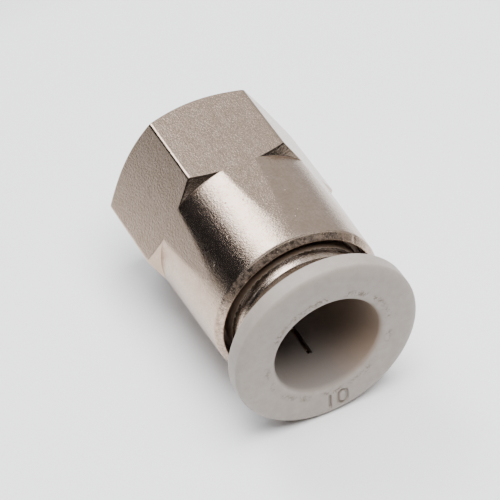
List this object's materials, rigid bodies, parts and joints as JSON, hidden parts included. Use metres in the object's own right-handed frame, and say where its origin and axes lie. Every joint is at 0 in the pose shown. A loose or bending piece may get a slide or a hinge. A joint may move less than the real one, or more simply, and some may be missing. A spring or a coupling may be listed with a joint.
{
  "type": "push to connect fitting",
  "caption": "Straight push-in tube fitting: plated hexagonal body with an internally threaded port and a flanged grey release ring that slides in to free the tube.",
  "frame": {"origin": "under the middle of the fitting, at the height it lies on, which the release ring's flange touches", "axes": "Y along the fitting's axis, -Y out of the tube end and +Y out of the threaded end; +Z square to the upper wrench flat"},
  "size_m": [0.0196, 0.0274, 0.0184],
  "materials": {
    "nickel_plate": "bright nickel plate, fine machining marks",
    "nickel_plate_collar": "bright nickel plate, turned",
    "grey_plastic": "satin, moulded",
    "white_plastic": "satin, moulded",
    "spring_steel": "bright rolled stainless",
    "nitrile_rubber": "satin rubber"
  },
  "bodies": {
    "fitting_body": {"hex_body": "nickel_plate", "tube_seal": "nitrile_rubber", "seal_retainer": "white_plastic", "guide_collar": "nickel_plate_collar"},
    "grab_ring": {"grab_ring": "spring_steel"},
    "release_ring": {"release_ring": "grey_plastic"},
    "grip_tooth_01": {"grip_tooth_01": "spring_steel"},
    "grip_tooth_02": {"grip_tooth_02": "spring_steel"},
    "grip_tooth_03": {"grip_tooth_03": "spring_steel"},
    "grip_tooth_04": {"grip_tooth_04": "spring_steel"},
    "grip_tooth_05": {"grip_tooth_05": "spring_steel"},
    "grip_tooth_06": {"grip_tooth_06": "spring_steel"},
    "grip_tooth_07": {"grip_tooth_07": "spring_steel"},
    "grip_tooth_08": {"grip_tooth_08": "spring_steel"},
    "grip_tooth_09": {"grip_tooth_09": "spring_steel"},
    "grip_tooth_10": {"grip_tooth_10": "spring_steel"},
    "grip_tooth_11": {"grip_tooth_11": "spring_steel"},
    "grip_tooth_12": {"grip_tooth_12": "spring_steel"},
    "grip_tooth_13": {"grip_tooth_13": "spring_steel"},
    "grip_tooth_14": {"grip_tooth_14": "spring_steel"}
  },
  "joints": [
    {"name": "grip_swivel", "type": "hinge", "parent": "fitting_body", "child": "grab_ring", "pos_m": [0, 0, 0.0092], "axis": [0, 1, 0], "continuous": true},
    {"name": "release_slide", "type": "slide", "parent": "grab_ring", "child": "release_ring", "axis": [0, 1, 0], "range_m": [0, 0.00165], "stiffness_N_per_m": 1000},
    {"name": "tooth_hinge_01", "type": "hinge", "parent": "grab_ring", "child": "grip_tooth_01", "pos_m": [0, -0.00415, 0.0159], "axis": [1, 0, 0], "range_deg": [0, 10.5]},
    {"name": "tooth_hinge_02", "type": "hinge", "parent": "grab_ring", "child": "grip_tooth_02", "pos_m": [-0.00291, -0.00415, 0.01524], "axis": [0.901, 0, 0.4339], "range_deg": [0, 10.5]},
    {"name": "tooth_hinge_03", "type": "hinge", "parent": "grab_ring", "child": "grip_tooth_03", "pos_m": [-0.00524, -0.00415, 0.01338], "axis": [0.6235, 0, 0.7818], "range_deg": [0, 10.5]},
    {"name": "tooth_hinge_04", "type": "hinge", "parent": "grab_ring", "child": "grip_tooth_04", "pos_m": [-0.00653, -0.00415, 0.01069], "axis": [0.2225, 0, 0.9749], "range_deg": [0, 10.5]},
    {"name": "tooth_hinge_05", "type": "hinge", "parent": "grab_ring", "child": "grip_tooth_05", "pos_m": [-0.00653, -0.00415, 0.00771], "axis": [-0.2225, 0, 0.9749], "range_deg": [0, 10.5]},
    {"name": "tooth_hinge_06", "type": "hinge", "parent": "grab_ring", "child": "grip_tooth_06", "pos_m": [-0.00524, -0.00415, 0.00502], "axis": [-0.6235, 0, 0.7818], "range_deg": [0, 10.5]},
    {"name": "tooth_hinge_07", "type": "hinge", "parent": "grab_ring", "child": "grip_tooth_07", "pos_m": [-0.00291, -0.00415, 0.00316], "axis": [-0.901, 0, 0.4339], "range_deg": [0, 10.5]},
    {"name": "tooth_hinge_08", "type": "hinge", "parent": "grab_ring", "child": "grip_tooth_08", "pos_m": [0, -0.00415, 0.0025], "axis": [-1, 0, 0], "range_deg": [0, 10.5]},
    {"name": "tooth_hinge_09", "type": "hinge", "parent": "grab_ring", "child": "grip_tooth_09", "pos_m": [0.00291, -0.00415, 0.00316], "axis": [-0.901, 0, -0.4339], "range_deg": [0, 10.5]},
    {"name": "tooth_hinge_10", "type": "hinge", "parent": "grab_ring", "child": "grip_tooth_10", "pos_m": [0.00524, -0.00415, 0.00502], "axis": [-0.6235, 0, -0.7818], "range_deg": [0, 10.5]},
    {"name": "tooth_hinge_11", "type": "hinge", "parent": "grab_ring", "child": "grip_tooth_11", "pos_m": [0.00653, -0.00415, 0.00771], "axis": [-0.2225, 0, -0.9749], "range_deg": [0, 10.5]},
    {"name": "tooth_hinge_12", "type": "hinge", "parent": "grab_ring", "child": "grip_tooth_12", "pos_m": [0.00653, -0.00415, 0.01069], "axis": [0.2225, 0, -0.9749], "range_deg": [0, 10.5]},
    {"name": "tooth_hinge_13", "type": "hinge", "parent": "grab_ring", "child": "grip_tooth_13", "pos_m": [0.00524, -0.00415, 0.01338], "axis": [0.6235, 0, -0.7818], "range_deg": [0, 10.5]},
    {"name": "tooth_hinge_14", "type": "hinge", "parent": "grab_ring", "child": "grip_tooth_14", "pos_m": [0.00291, -0.00415, 0.01524], "axis": [0.901, 0, -0.4339], "range_deg": [0, 10.5]}
  ],
  "couplings": [
    {"joint": "tooth_hinge_01", "follows": "release_slide", "rad_per_m": 105.78},
    {"joint": "tooth_hinge_02", "follows": "release_slide", "rad_per_m": 105.78},
    {"joint": "tooth_hinge_03", "follows": "release_slide", "rad_per_m": 105.78},
    {"joint": "tooth_hinge_04", "follows": "release_slide", "rad_per_m": 105.78},
    {"joint": "tooth_hinge_05", "follows": "release_slide", "rad_per_m": 105.78},
    {"joint": "tooth_hinge_06", "follows": "release_slide", "rad_per_m": 105.78},
    {"joint": "tooth_hinge_07", "follows": "release_slide", "rad_per_m": 105.78},
    {"joint": "tooth_hinge_08", "follows": "release_slide", "rad_per_m": 105.78},
    {"joint": "tooth_hinge_09", "follows": "release_slide", "rad_per_m": 105.78},
    {"joint": "tooth_hinge_10", "follows": "release_slide", "rad_per_m": 105.78},
    {"joint": "tooth_hinge_11", "follows": "release_slide", "rad_per_m": 105.78},
    {"joint": "tooth_hinge_12", "follows": "release_slide", "rad_per_m": 105.78},
    {"joint": "tooth_hinge_13", "follows": "release_slide", "rad_per_m": 105.78},
    {"joint": "tooth_hinge_14", "follows": "release_slide", "rad_per_m": 105.78}
  ]
}
